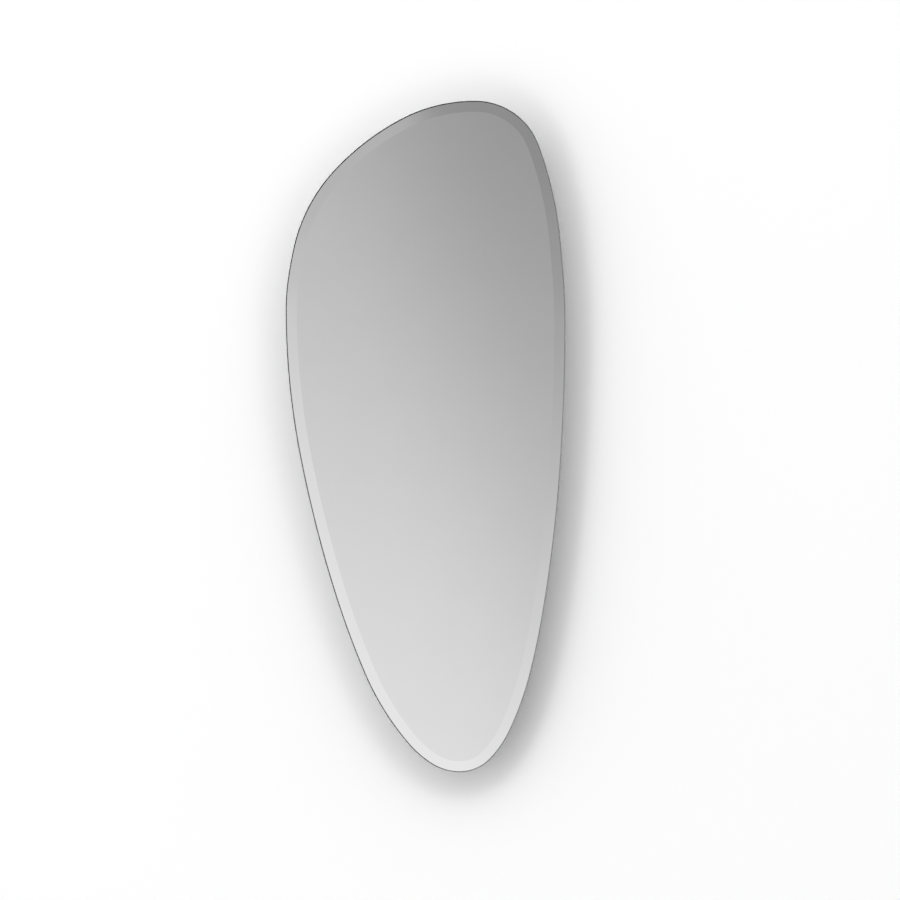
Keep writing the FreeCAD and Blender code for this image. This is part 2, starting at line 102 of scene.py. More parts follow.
class MIRROR_PG_sizes(bpy.types.PropertyGroup):
    """Sizes of the pieces that are worked out here."""

    bevel_width: FloatProperty(
        name="Bevel width", description="Polished bevel, from the edge inwards",
        default=20 * MM, min=1 * MM, unit="LENGTH")
    bevel_depth: FloatProperty(
        name="Bevel depth", description="How much the bevel thins the glass",
        default=2 * MM, min=0.1 * MM, unit="LENGTH")
    front_arris_width: FloatProperty(
        name="Front arris width", description="Ground corner between bevel and edge, from the edge inwards",
        default=2.0 * MM, min=0.1 * MM, unit="LENGTH")
    front_arris_depth: FloatProperty(
        name="Front arris depth", description="Ground corner between bevel and edge, across the edge",
        default=1.3 * MM, min=0.1 * MM, unit="LENGTH")
    back_arris: FloatProperty(
        name="Back arris", description="Ground corner at the back of the edge",
        default=0.5 * MM, min=0.1 * MM, unit="LENGTH")
    board_bevel: FloatProperty(
        name="Board bevel", description="Bevelled back edge of the board",
        default=3 * MM, min=0.5 * MM, unit="LENGTH")
    board_round: FloatProperty(
        name="Board rounding", description="Corners of the board eased by sanding",
        default=0.8 * MM, min=0.1 * MM, unit="LENGTH")
    rubber_round: FloatProperty(
        name="Rubber rounding", description="Rounded corners of the moulded bumpers",
        default=0.5 * MM, min=0.1 * MM, unit="LENGTH")
    bumper_bore: FloatProperty(
        name="Bumper bore", description="Radius of the hole through a bumper",
        default=2.1 * MM, min=0.5 * MM, unit="LENGTH")
    bumper_pocket: FloatProperty(
        name="Bumper pocket", description="Radius of the pocket for washer and screw head",
        default=6 * MM, min=1 * MM, unit="LENGTH")
    bumper_pocket_depth: FloatProperty(
        name="Pocket depth", description="Depth of the pocket from the wall's side",
        default=3.3 * MM, min=0.5 * MM, unit="LENGTH")
    bumper_chamfer: FloatProperty(
        name="Bumper chamfer", description="Chamfer round the end that rests on the wall",
        default=1.5 * MM, min=0.1 * MM, unit="LENGTH")
    rim_points: IntProperty(
        name="Points round the rim", description="How finely the outline is divided", default=900, min=60)


class MIRROR_PG_finishes(bpy.types.PropertyGroup):
    """Colours of the finishes."""

    silver: StringProperty(name="Silvering", description="Reflection of the glass", default="#F9F9F9")
    edge: StringProperty(name="Ground edge", description="Ground edge of the glass", default="#9A9C9B")
    back_paint: StringProperty(name="Backing paint", description="Paint over the silver", default="#5D6061")
    film: StringProperty(name="Safety film", description="Film on the back of the glass", default="#7A7D7E")
    board: StringProperty(name="Board paint", description="Paint on the fibreboard", default="#343536")
    rail: StringProperty(name="Rails", description="Extruded aluminium", default="#C6C8CA")
    zinc: StringProperty(name="Zinc plating", description="Screws and washers", default="#A6AEB6")
    rubber: StringProperty(name="Rubber", description="Bumpers", default="#1B1C1D")
    foam: StringProperty(name="Foam tape", description="Foam of the mounting tape", default="#E4E4DF")
    adhesive: StringProperty(name="Adhesive", description="Cured mirror adhesive", default="#D3CFC4")
    stage: StringProperty(name="Stage", description="Paint on wall and floor", default="#FEFEFE")


class MIRROR_PG_studio(bpy.types.PropertyGroup):
    """Light and camera."""

    sky_level: FloatProperty(
        name="Room light", description="Even light from the room", default=0.1, min=0.0)
    rear_level: FloatProperty(
        name="Rear light", description="Light from behind the plane of the wall, for the object's back",
        default=0.35, min=0.0)
    rear_lift: FloatProperty(
        name="Rear lift", description="How much of the rear light there is more above and less below",
        default=0.4, min=0.0, max=1.0)
    wash_level: FloatProperty(
        name="Wall wash", description="Average brightness of the ring of softboxes that lights the wall",
        default=4.8, min=0.0)
    wash_from: FloatProperty(
        name="Wash from", description="Direction of the brightest softbox, anticlockwise from the right",
        default=math.radians(132), subtype="ANGLE")
    wash_bias: FloatProperty(
        name="Wash bias", description="How far the brightest softbox is above the average, as its share",
        default=0.8, min=0.0, max=1.0)
    wash_radius: FloatProperty(
        name="Ring radius", description="Middle of the glass to the softboxes",
        default=36.0, min=2.0, unit="LENGTH")
    wash_reach: FloatProperty(
        name="Softbox depth", description="How far the softboxes reach into the room",
        default=17.6, min=0.2, unit="LENGTH")
    top_level: FloatProperty(
        name="Top light", description="Share of a white floor's brightness from the light above and behind",
        default=0.65, min=0.0)
    side_level: FloatProperty(
        name="Side lights", description="Share of a white side's brightness from the lights beside it",
        default=0.5, min=0.0)
    floor_glow: FloatProperty(
        name="Floor glow", description="What the camera sees on the floor beyond its lit paint",
        default=0.12, min=0.0)
    lens: FloatProperty(name="Lens", description="Focal length", default=85.0, min=10.0, unit="CAMERA")
    picture_width: FloatProperty(
        name="Picture width", description="Width of the picture at the front of the glass",
        default=1607 * MM, min=0.1, unit="LENGTH")
    aim: FloatVectorProperty(
        name="Aim", description="Middle of the picture, right of and above the middle of the glass",
        default=(43.6 * MM, -24.1 * MM), size=2, unit="LENGTH")


def sizes():
    return bpy.context.scene.mirror_sizes


def finishes():
    return bpy.context.scene.mirror_finishes


def studio():
    return bpy.context.scene.mirror_studio


# ---------------------------------------------------------------- shapes


def unit(vectors):
    """Vectors scaled to length 1."""
    return vectors / np.linalg.norm(vectors, axis=1, keepdims=True)


def outline_stations():
    """The outline's points and directions, with the point between each two where their tangent arcs meet.

    For ends p and q with unit directions a and b, both arcs have arms of length d with
    |q - p - d (a + b)| = 2 d, and they meet halfway between p + d a and q - d b.
    """
    half = np.array((WIDTH, GLASS_HIGH[2] - GLASS_LOW[2])) / 2
    points = OUTLINE[:, :2] * half
    angles = np.radians(OUTLINE[:, 2])
    ways = unit(np.column_stack((np.cos(angles), np.sin(angles))) * half)
    ends = np.roll(points, -1, axis=0)
    arriving = np.roll(ways, -1, axis=0)
    gap = ends - points
    spread = 2 * (1 - (ways * arriving).sum(axis=1))
    along = (gap * (ways + arriving)).sum(axis=1)
    arm = ((np.sqrt(along**2 + spread * (gap**2).sum(axis=1)) - along) / spread)[:, None]
    meeting = (points + ends + (ways - arriving) * arm) / 2
    crossing = unit((ends - arriving * arm) - (points + ways * arm))
    stations = np.stack((points, meeting), axis=1).reshape(-1, 2)
    directions = np.stack((ways, crossing), axis=1).reshape(-1, 2)
    return stations, directions


def rim_path(count):
    """Points evenly spaced round the glass, and the directions inwards from them.

    An arc that leaves p in direction w and turns by t over its length l has gone, after a share f of it,
    along a chord of length 2 (l / t) sin(f t / 2) in the direction of w turned by f t / 2.
    """
    stations, ways = outline_stations()
    chords = np.roll(stations, -1, axis=0) - stations
    chord_lengths = np.linalg.norm(chords, axis=1)
    cross = ways[:, 0] * chords[:, 1] - ways[:, 1] * chords[:, 0]
    turns = 2 * np.arctan2(cross, (ways * chords).sum(axis=1))
    lengths = chord_lengths * turns / 2 / np.sin(turns / 2)
    ends = np.cumsum(lengths)
    travelled = np.arange(count) / count * ends[-1]
    arc = np.searchsorted(ends, travelled, side="right")
    share = (travelled - ends[arc] + lengths[arc]) / lengths[arc]
    start = np.arctan2(ways[arc, 1], ways[arc, 0])
    partial = 2 * lengths[arc] / turns[arc] * np.sin(share * turns[arc] / 2)
    chord_way = start + share * turns[arc] / 2
    points = stations[arc] + partial[:, None] * np.column_stack((np.cos(chord_way), np.sin(chord_way)))
    heading = start + share * turns[arc]
    inwards = np.column_stack((-np.sin(heading), np.cos(heading)))
    middle = (GLASS_LOW + GLASS_HIGH) / 2
    return points + middle[[0, 2]], inwards


def circle_path(radius, x, z, count):
    """Points round a circle in the plane of the wall, and the directions inwards from them."""
    angles = np.arange(count) / count * 2 * math.pi
    outwards = np.column_stack((np.cos(angles), np.sin(angles)))
    return np.array((x, z)) + radius * outwards, -outwards


def carried(path, inwards, insets, depths):
    """Grid of points: a profile of insets and depths, carried along a closed path in the plane of the wall.

    The point for place i on the path and step j of the profile is path i moved inwards by inset j, at
    y = depth j. Insets and depths may differ along the path, as arrays of one row per place.
    """
    insets = np.broadcast_to(insets, (len(path), np.shape(insets)[-1]))
    depths = np.broadcast_to(depths, insets.shape)
    flat = path[:, None, :] + inwards[:, None, :] * insets[:, :, None]
    return np.stack((flat[:, :, 0], depths, flat[:, :, 1]), axis=2)


def grid_faces(count, steps, ring):
    """Four corners of each face of a grid, closed along the path, and along the profile too if it is a ring."""
    place = np.arange(count)[:, None]
    step = np.arange(steps if ring else steps - 1)[None, :]
    following = (place + 1) % count
    beyond = (step + 1) % steps
    corners = np.stack((place * steps + step, following * steps + step,
                        following * steps + beyond, place * steps + beyond), axis=2)
    return corners.reshape(-1, 4)


def new_piece(name, grids, materials, ring=False, bands=None, sharp=()):
    """Mesh of one or more grids. Unless they are rings, both ends of the profile are closed by fans.

    bands gives each step of the profile its material, and sharp lists the steps whose lines round the piece
    stay crisp. Faces point outwards when the path runs anticlockwise as seen from the room and the profile
    goes from the wall's side to the room's on the outside.
    """
    vertices = []
    quads = []
    fans = []
    quad_bands = []
    start = 0
    for grid in grids:
        count, steps = grid.shape[:2]
        vertices.append(grid.reshape(-1, 3))
        quads.append(grid_faces(count, steps, ring) + start)
        quad_bands.append(np.tile(np.arange(steps if ring else steps - 1), count))
        start += count * steps
        if not ring:
            vertices.append(np.stack((grid[:, 0].mean(axis=0), grid[:, -1].mean(axis=0))))
            first = start - count * steps + np.arange(count) * steps
            last = first + steps - 1
            fans.append(np.column_stack((np.roll(first, -1), first, np.full(count, start))))
            fans.append(np.column_stack((last, np.roll(last, -1), np.full(count, start + 1))))
            start += 2
    quads = np.concatenate(quads)
    triangles = np.concatenate(fans) if fans else np.zeros((0, 3), int)
    corner_list = np.concatenate((quads.ravel(), triangles.ravel())).astype(np.int32)
    sizes_list = np.concatenate((np.full(len(quads), 4), np.full(len(triangles), 3))).astype(np.int32)
    starts = np.concatenate(((0,), np.cumsum(sizes_list)[:-1])).astype(np.int32)
    points = np.concatenate(vertices)
    mesh = bpy.data.meshes.new(name)
    mesh.vertices.add(len(points))
    mesh.vertices.foreach_set("co", points.ravel().astype(np.float32))
    mesh.loops.add(len(corner_list))
    mesh.loops.foreach_set("vertex_index", corner_list)
    mesh.polygons.add(len(sizes_list))
    mesh.polygons.foreach_set("loop_start", starts)
    mesh.polygons.foreach_set("loop_total", sizes_list)
    mesh.polygons.foreach_set("use_smooth", np.ones(len(sizes_list), bool))
    mesh.update(calc_edges=True)
    for material in materials:
        mesh.materials.append(material)
    quad_bands = np.concatenate(quad_bands)
    if bands is not None:
        fan_bands = np.tile(np.repeat((bands[0], bands[-1]), len(grids[0])), len(grids)) if fans else []
        chosen = np.concatenate((np.array(bands)[quad_bands], fan_bands)).astype(np.int32)
        mesh.polygons.foreach_set("material_index", chosen)
    if sharp:
        mark_sharp(mesh, grids, ring, sharp)
    if mesh.validate(verbose=True):
        raise RuntimeError(f"{name} has faulty faces")
    piece = bpy.data.objects.new(name, mesh)
    bpy.context.scene.collection.objects.link(piece)
    return piece


def mark_sharp(mesh, grids, ring, sharp):
    """Mark the lines round the piece at the given steps of the profile as sharp."""
    step_of = []
    for grid in grids:
        step_of.append(np.tile(np.arange(grid.shape[1]), grid.shape[0]))
        if not ring:
            step_of.append(np.array((-1, -1)))
    step_of = np.concatenate(step_of)
    ends = np.zeros(len(mesh.edges) * 2, np.int32)
    mesh.edges.foreach_get("vertices", ends)
    steps = step_of[ends.reshape(-1, 2)]
    crisp = (steps[:, 0] == steps[:, 1]) & np.isin(steps[:, 0], sharp)
    attribute = mesh.attributes.new("sharp_edge", "BOOLEAN", "EDGE")
    attribute.data.foreach_set("value", crisp)


def rounded(corners, radius, ring=False, steps=4):
    """Profile with its corners rounded: each corner is replaced by a short quadratic curve.

    The curve starts and ends the radius away from the corner, or at 45 % of a shorter side, and the corner is
    its control point. An open profile keeps its two ends.
    """
    corners = np.array(corners, float)
    if ring:
        corners = np.concatenate((corners[-1:], corners, corners[:1]))
    shares = np.linspace(0, 1, steps + 1)[:, None]
    profile = [] if ring else [corners[:1]]
    for before, corner, after in zip(corners[:-2], corners[1:-1], corners[2:]):
        back = before - corner
        ahead = after - corner
        start = corner + back * min(radius / np.linalg.norm(back), 0.45)
        end = corner + ahead * min(radius / np.linalg.norm(ahead), 0.45)
        profile.append((1 - shares) ** 2 * start + 2 * shares * (1 - shares) * corner + shares**2 * end)
    if not ring:
        profile.append(corners[-1:])
    return np.concatenate(profile)


def turned(node, profile, count=96):
    """Grid of a profile of radii and depths, turned about a line square to the wall through a node's middle."""
    low, high = (np.array(corner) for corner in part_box(node))
    reach = profile[:, 0].max()
    middle = (low + high) / 2
    path, inwards = circle_path(reach, middle[0], middle[2], count)
    return carried(path, inwards, reach - profile[:, 0], profile[:, 1])


# ---------------------------------------------------------------- finishes


def new_material(name):
    """Material with an empty node tree and its output."""
    material = bpy.data.materials.new(name)
    material.use_nodes = True
    material.node_tree.nodes.clear()
    return material


def add(tree, kind, inputs=None, **settings):
    """Add a node: settings are its properties, inputs are values or sockets to link, by name or number."""
    node = tree.nodes.new(f"ShaderNode{kind}")
    for name, value in settings.items():
        setattr(node, name, value)
    for key, value in (inputs or {}).items():
        socket = node.inputs[key]
        if isinstance(value, bpy.types.NodeSocket):
            tree.links.new(value, socket)
        else:
            socket.default_value = value
    return node


def place(tree, scale=(1, 1, 1), turn=0.0):
    """Object coordinates, scaled and turned about the axis square to the wall."""
    where = add(tree, "TexCoord").outputs["Object"]
    turned_place = add(tree, "Mapping", {"Vector": where, "Scale": scale, "Rotation": (0, turn, 0)})
    return turned_place.outputs["Vector"]


def ranged(tree, value, low, high):
    """A value from 0 to 1 turned to one from low to high."""
    return add(tree, "MapRange", {"Value": value, "To Min": low, "To Max": high}).outputs["Result"]


def toned(tree, value, colour, low, high):
    """A colour whose brightness runs from low to high with the value."""
    level = ranged(tree, value, low, high)
    return add(tree, "Mix", {"Factor": 1.0, 6: linear(colour), 7: level}, data_type="RGBA",
               blend_type="MULTIPLY").outputs[2]


def noise(tree, size, where=None, detail=3.0):
    """Noise with features of a real size in metres."""
    vector = where or place(tree)
    return add(tree, "TexNoise", {"Vector": vector, "Scale": 1 / size, "Detail": detail}).outputs["Fac"]


def bump(tree, height, depth, base=None):
    """Normals raised by a height from 0 to 1, over a real depth in metres."""
    inputs = {"Height": height, "Strength": 1.0, "Distance": depth}
    if base is not None:
        inputs["Normal"] = base
    return add(tree, "Bump", inputs).outputs["Normal"]


def surface(tree, inputs):
    """Principled surface and the material's output."""
    shader = add(tree, "BsdfPrincipled", inputs)
    add(tree, "OutputMaterial", {"Surface": shader.outputs["BSDF"]})
    return shader


def silvered_float_glass():
    """Silvered float glass: a clear, even reflection, with the faintest cloudiness of silver and glass."""
    material = new_material("silvered float glass")
    tree = material.node_tree
    haze = noise(tree, 60 * MM, detail=5.0)
    surface(tree, {
        "Base Color": toned(tree, haze, finishes().silver, 0.97, 1.0),
        "Metallic": 1.0,
        "Roughness": ranged(tree, haze, 0.0, 0.03),
    })
    return material


def ground_glass_edge():
    """Glass ground with a diamond wheel: satin, with fine lines along the edge; silver shines through it."""
    material = new_material("ground glass edge")
    tree = material.node_tree
    grit = noise(tree, 0.4 * MM, detail=4.0)
    surface(tree, {
        "Base Color": toned(tree, grit, finishes().edge, 0.8, 1.0),
        "Metallic": 1.0,
        "Roughness": ranged(tree, grit, 0.16, 0.3),
        "Normal": bump(tree, grit, 0.004 * MM),
    })
    return material


def mirror_backing_paint():
    """Paint curtain-coated over the silver: even and slightly glossy, with a faint orange peel."""
    material = new_material("mirror backing paint")
    tree = material.node_tree
    peel = noise(tree, 3 * MM)
    surface(tree, {
        "Base Color": toned(tree, peel, finishes().back_paint, 0.92, 1.05),
        "Roughness": ranged(tree, peel, 0.3, 0.42),
        "Normal": bump(tree, peel, 0.02 * MM),
    })
    return material


def woven_safety_film():
    """Polyethylene film reinforced with a woven scrim: crossed tapes, pressed smooth and glossy.

    The real tapes are 2.5 mm apart. They are drawn 7 mm apart, so that they show when the whole back is seen.
    """
    material = new_material("woven safety film")
    tree = material.node_tree
    spacing = 7 * MM
    # A wave texture's bands lie 2 pi / 20 / scale apart, so this scale sets the spacing of the tapes.
    scale = 2 * math.pi / 20 / spacing
    tapes = []
    for turn in (math.radians(45), math.radians(-45)):
        where = place(tree, turn=turn)
        wave = add(tree, "TexWave", {"Vector": where, "Scale": scale, "Distortion": 0.0},
                   wave_type="BANDS", bands_direction="X", wave_profile="SIN")
        tapes.append(wave.outputs["Fac"])
    weave = add(tree, "Math", {0: tapes[0], 1: tapes[1]}, operation="MAXIMUM").outputs[0]
    wrinkle = noise(tree, 45 * MM, detail=2.0)
    soft = bump(tree, wrinkle, 0.25 * MM)
    surface(tree, {
        "Base Color": toned(tree, weave, finishes().film, 0.78, 1.05),
        "Roughness": ranged(tree, weave, 0.3, 0.45),
        "Normal": bump(tree, weave, 0.05 * MM, soft),
    })
    return material


def painted_fibreboard():
    """Fibreboard sealed and rolled with matt paint: a roller's stipple over a slow unevenness of the board."""
    material = new_material("painted fibreboard")
    tree = material.node_tree
    stipple = noise(tree, 1.8 * MM, detail=4.0)
    slow = noise(tree, 80 * MM, detail=2.0)
    surface(tree, {
        "Base Color": toned(tree, slow, finishes().board, 0.85, 1.1),
        "Roughness": ranged(tree, stipple, 0.55, 0.75),
        "Normal": bump(tree, stipple, 0.06 * MM),
    })
    return material


def extruded_aluminium():
    """Aluminium pressed through a die: fine die lines along the bar, and a dull film of oxide."""
    material = new_material("extruded aluminium")
    tree = material.node_tree
    # Die lines are 0.3 mm apart across the bar and run for decimetres along it.
    lines = noise(tree, 0.3 * MM, place(tree, scale=(0.002, 1, 1)), detail=2.0)
    oxide = noise(tree, 25 * MM, detail=3.0)
    surface(tree, {
        "Base Color": toned(tree, oxide, finishes().rail, 0.9, 1.0),
        "Metallic": 1.0,
        "Roughness": ranged(tree, lines, 0.24, 0.42),
        "Normal": bump(tree, lines, 0.006 * MM),
    })
    return material


def zinc_plated_steel():
    """Steel with bright zinc: a bluish shine, mottled where the passivation differs."""
    material = new_material("zinc plated steel")
    tree = material.node_tree
    mottle = noise(tree, 1.5 * MM, detail=4.0)
    surface(tree, {
        "Base Color": toned(tree, mottle, finishes().zinc, 0.85, 1.0),
        "Metallic": 1.0,
        "Roughness": ranged(tree, mottle, 0.18, 0.34),
        "Normal": bump(tree, mottle, 0.005 * MM),
    })
    return material


def moulded_rubber():
    """Rubber from a blasted mould: near black and matt, with a fine grain and a grey bloom."""
    material = new_material("moulded rubber")
    tree = material.node_tree
    grain = noise(tree, 0.35 * MM, detail=3.0)
    bloom = noise(tree, 6 * MM, detail=3.0)
    surface(tree, {
        "Base Color": toned(tree, bloom, finishes().rubber, 0.8, 1.5),
        "Roughness": ranged(tree, bloom, 0.5, 0.7),
        "Normal": bump(tree, grain, 0.03 * MM),
    })
    return material


def closed_cell_foam():
    """Cut closed-cell foam: small bubbles, dull and slightly translucent."""
    material = new_material("closed-cell foam")
    tree = material.node_tree
    cells = add(tree, "TexVoronoi", {"Vector": place(tree), "Scale": 1 / (0.5 * MM)}).outputs["Distance"]
    surface(tree, {
        "Base Color": toned(tree, cells, finishes().foam, 0.8, 1.0),
        "Roughness": 0.8,
        "Normal": bump(tree, cells, 0.08 * MM),
    })
    return material


def cured_adhesive():
    """Cured neutral adhesive: smooth and waxy, with slow ripples from pressing."""
    material = new_material("cured adhesive")
    tree = material.node_tree
    ripple = noise(tree, 8 * MM, detail=2.0)
    surface(tree, {
        "Base Color": toned(tree, ripple, finishes().adhesive, 0.92, 1.02),
        "Roughness": ranged(tree, ripple, 0.3, 0.45),
        "Normal": bump(tree, ripple, 0.2 * MM),
    })
    return material


def dress(node, material):
    """Give a CAD node a material in all its slots."""
    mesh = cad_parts[node].data
    mesh.materials.clear()
    mesh.materials.append(material)


def stand_in(piece, slot, body, *nodes):
    """The piece rides on the body and stands for the nodes, which are hidden. The slot is not used."""
    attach(piece, body)
    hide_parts(*nodes)


# ---------------------------------------------------------------- pieces


class MIRROR_OT_pane(bpy.types.Operator):
    """Bevelled pane: the rim's profile from the back, round the ground edge, up the bevel to the flat face"""

    bl_idname = "mirror.pane"
    bl_label = "Silvered pane"

    def execute(self, context):
        size = sizes()
        back = GLASS_HIGH[1]
        front = GLASS_LOW[1]
        rim = front + size.bevel_depth
        profile = np.array((
            (size.bevel_width, back),
            (size.back_arris, back),
            (0, back - size.back_arris),
            (0, rim + size.front_arris_depth),
            (size.front_arris_width, rim),
            (size.bevel_width, front),
        ))
        path, inwards = rim_path(size.rim_points)
        grid = carried(path, inwards, profile[:, 0], profile[:, 1])
        piece = new_piece(
            "silvered_pane", [grid],
            [silvered_float_glass(), ground_glass_edge(), mirror_backing_paint()],
            bands=(2, 1, 1, 1, 0), sharp=(0, 1, 2, 3, 4, 5))
        stand_in(piece, "silvered_glass", "mirror", "mirror_glass")
        return {"FINISHED"}


class MIRROR_OT_film(bpy.types.Operator):
    """Safety film: the outline drawn in by the film's inset, as thick as the film"""

    bl_idname = "mirror.film"
    bl_label = "Safety film"

    def execute(self, context):
        inset = FILM_LOW[0] - GLASS_LOW[0]
        back = FILM_HIGH[1]
        front = FILM_LOW[1]
        profile = np.array(((inset + BORDER, back), (inset, back), (inset, front), (inset + BORDER, front)))
        path, inwards = rim_path(sizes().rim_points)
        grid = carried(path, inwards, profile[:, 0], profile[:, 1])
        piece = new_piece("woven_safety_film", [grid], [woven_safety_film()], sharp=(1, 2))
        stand_in(piece, "safety_film", "mirror", "safety_film")
        return {"FINISHED"}


class MIRROR_OT_board(bpy.types.Operator):
    """Backing board: the outline drawn in, with a bevelled back edge and its corners eased by sanding"""

    bl_idname = "mirror.board"
    bl_label = "Backing board"

    def execute(self, context):
        inset = BOARD_LOW[0] - GLASS_LOW[0]
        bevel = sizes().board_bevel
        back = BOARD_HIGH[1]
        front = BOARD_LOW[1]
        profile = rounded((
            (inset + BORDER, back),
            (inset + bevel, back),
            (inset, back - bevel),
            (inset, front),
            (inset + BORDER, front),
        ), sizes().board_round)
        path, inwards = rim_path(sizes().rim_points)
        grid = carried(path, inwards, profile[:, 0], profile[:, 1])
        piece = new_piece("painted_backing_board", [grid], [painted_fibreboard()])
        stand_in(piece, "painted_board", "mirror", "backing_board")
        return {"FINISHED"}


class MIRROR_OT_bonds(bpy.types.Operator):
    """Foam tape and adhesive beads between film and board, as the CAD model has them"""

    bl_idname = "mirror.bonds"
    bl_label = "Tape and adhesive"

    def execute(self, context):
        dress("mounting_tape", closed_cell_foam())
        dress("mirror_adhesive", cured_adhesive())
        return {"FINISHED"}


class MIRROR_OT_rails(bpy.types.Operator):
    """Hooked aluminium rails, as the CAD model has them"""

    bl_idname = "mirror.rails"
    bl_label = "Hanging rails"

    def execute(self, context):
        aluminium = extruded_aluminium()
        dress("wall_rail", aluminium)
        dress("mirror_rail", aluminium)
        return {"FINISHED"}


class MIRROR_OT_bumpers(bpy.types.Operator):
    """Bumpers: a rounded rubber disc with a pocket for its washer and screw, turned about its middle"""

    bl_idname = "mirror.bumpers"
    bl_label = "Rubber bumpers"

    def execute(self, context):
        size = sizes()
        rubber = moulded_rubber()
        for node in ("bumper_left", "bumper_right"):
            low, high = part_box(node)
            outer = (high[0] - low[0]) / 2
            wall = high[1]
            board = low[1]
            pocket_floor = wall - size.bumper_pocket_depth
            profile = rounded((
                (size.bumper_pocket, wall),
                (outer - size.bumper_chamfer, wall),
                (outer, wall - size.bumper_chamfer),
                (outer, board),
                (size.bumper_bore, board),
                (size.bumper_bore, pocket_floor),
                (size.bumper_pocket, pocket_floor),
            ), size.rubber_round, ring=True)
            piece = new_piece(f"moulded_{node}", [turned(node, profile)], [rubber], ring=True)
            stand_in(piece, "black_rubber", "mirror", node)
        return {"FINISHED"}


class MIRROR_OT_fasteners(bpy.types.Operator):
    """Screws and washers, as the CAD model has them"""

    bl_idname = "mirror.fasteners"
    bl_label = "Screws and washers"

    def execute(self, context):
        zinc = zinc_plated_steel()
        dress("mirror_rail_screws", zinc)
        dress("bumper_screws", zinc)
        dress("bumper_washers", zinc)
        return {"FINISHED"}


class MIRROR_OT_stage(bpy.types.Operator):
    """Wall, floor, light and camera"""

    bl_idname = "mirror.stage"
    bl_label = "Studio"

    def execute(self, context):
        wall = make_wall_and_floor()
        make_world()
        make_wall_wash(wall)
        make_lamps()
        make_camera()
        return {"FINISHED"}


# ---------------------------------------------------------------- studio


def stage_paint(name, glow):
    """White paint that one side of a plane shows, and that lets views and light through from the other.

    Light that has left the object's back once passes too, so that the back is lit when it is looked at from
    behind. The glow is seen by the camera alone and lights nothing.
    """
    material = new_material(name)
    tree = material.node_tree
    path = add(tree, "LightPath")
    mottle = noise(tree, 0.8 * MM)
    paint = add(tree, "BsdfDiffuse", {"Color": toned(tree, mottle, finishes().stage, 0.995, 1.0)})
    shine = add(tree, "Math", {0: path.outputs["Is Camera Ray"], 1: glow}, operation="MULTIPLY").outputs[0]
    lit = add(tree, "Emission", {"Color": (1, 1, 1, 1), "Strength": shine})
    solid = add(tree, "AddShader", {0: paint.outputs[0], 1: lit.outputs[0]})
    # Ray depth is 0 for the camera and 1 for the first ray or shadow from what it sees.
    depth = path.outputs["Ray Depth"]
    past = add(tree, "Math", {0: depth, 1: 0.5}, operation="GREATER_THAN").outputs[0]
    early = add(tree, "Math", {0: depth, 1: 1.5}, operation="LESS_THAN").outputs[0]
    once = add(tree, "Math", {0: past, 1: early}, operation="MULTIPLY").outputs[0]
    behind = add(tree, "NewGeometry").outputs["Backfacing"]
    clear = add(tree, "Math", {0: once, 1: behind}, operation="MAXIMUM").outputs[0]
    nothing = add(tree, "BsdfTransparent").outputs[0]
    mixed = add(tree, "MixShader", {0: clear, 1: solid.outputs[0], 2: nothing})
    add(tree, "OutputMaterial", {"Surface": mixed.outputs[0]})
    return material


def make_plane(name, corners, material):
    """Stage plane whose front is where its corners run anticlockwise."""
    mesh = bpy.data.meshes.new(name)
    mesh.from_pydata(corners, [], [tuple(range(len(corners)))])
    mesh.materials.append(material)
    plane = bpy.data.objects.new(name, mesh)
    bpy.context.scene.collection.objects.link(plane)
    return plane


def make_wall_and_floor():
    """Wall just behind the object and a floor below it, both wide enough to fill the picture."""
    reach = 8.0
    floor = -1.5
    gap = 0.1 * MM
    wall = make_plane(
        "wall", [(-reach, gap, floor), (reach, gap, floor), (reach, gap, reach), (-reach, gap, reach)],
        stage_paint("wall paint", 0.0))
    make_plane(
        "floor",
        [(-reach, -reach, floor), (reach, -reach, floor), (reach, reach, floor), (-reach, reach, floor)],
        stage_paint("floor paint", studio().floor_glow))
    return wall


def falling(tree, x, z, along_x, along_z, offset):
    """A smooth step from 1 to 0: 1 / (1 + e^(a x + b z + c))."""
    across = add(tree, "Math", {0: x, 1: along_x, 2: offset}, operation="MULTIPLY_ADD").outputs[0]
    power = add(tree, "Math", {0: z, 1: along_z, 2: across}, operation="MULTIPLY_ADD").outputs[0]
    growth = add(tree, "Math", {0: power}, operation="EXPONENT").outputs[0]
    below = add(tree, "Math", {0: growth, 1: 1.0}, operation="ADD").outputs[0]
    return add(tree, "Math", {0: 1.0, 1: below}, operation="DIVIDE").outputs[0]


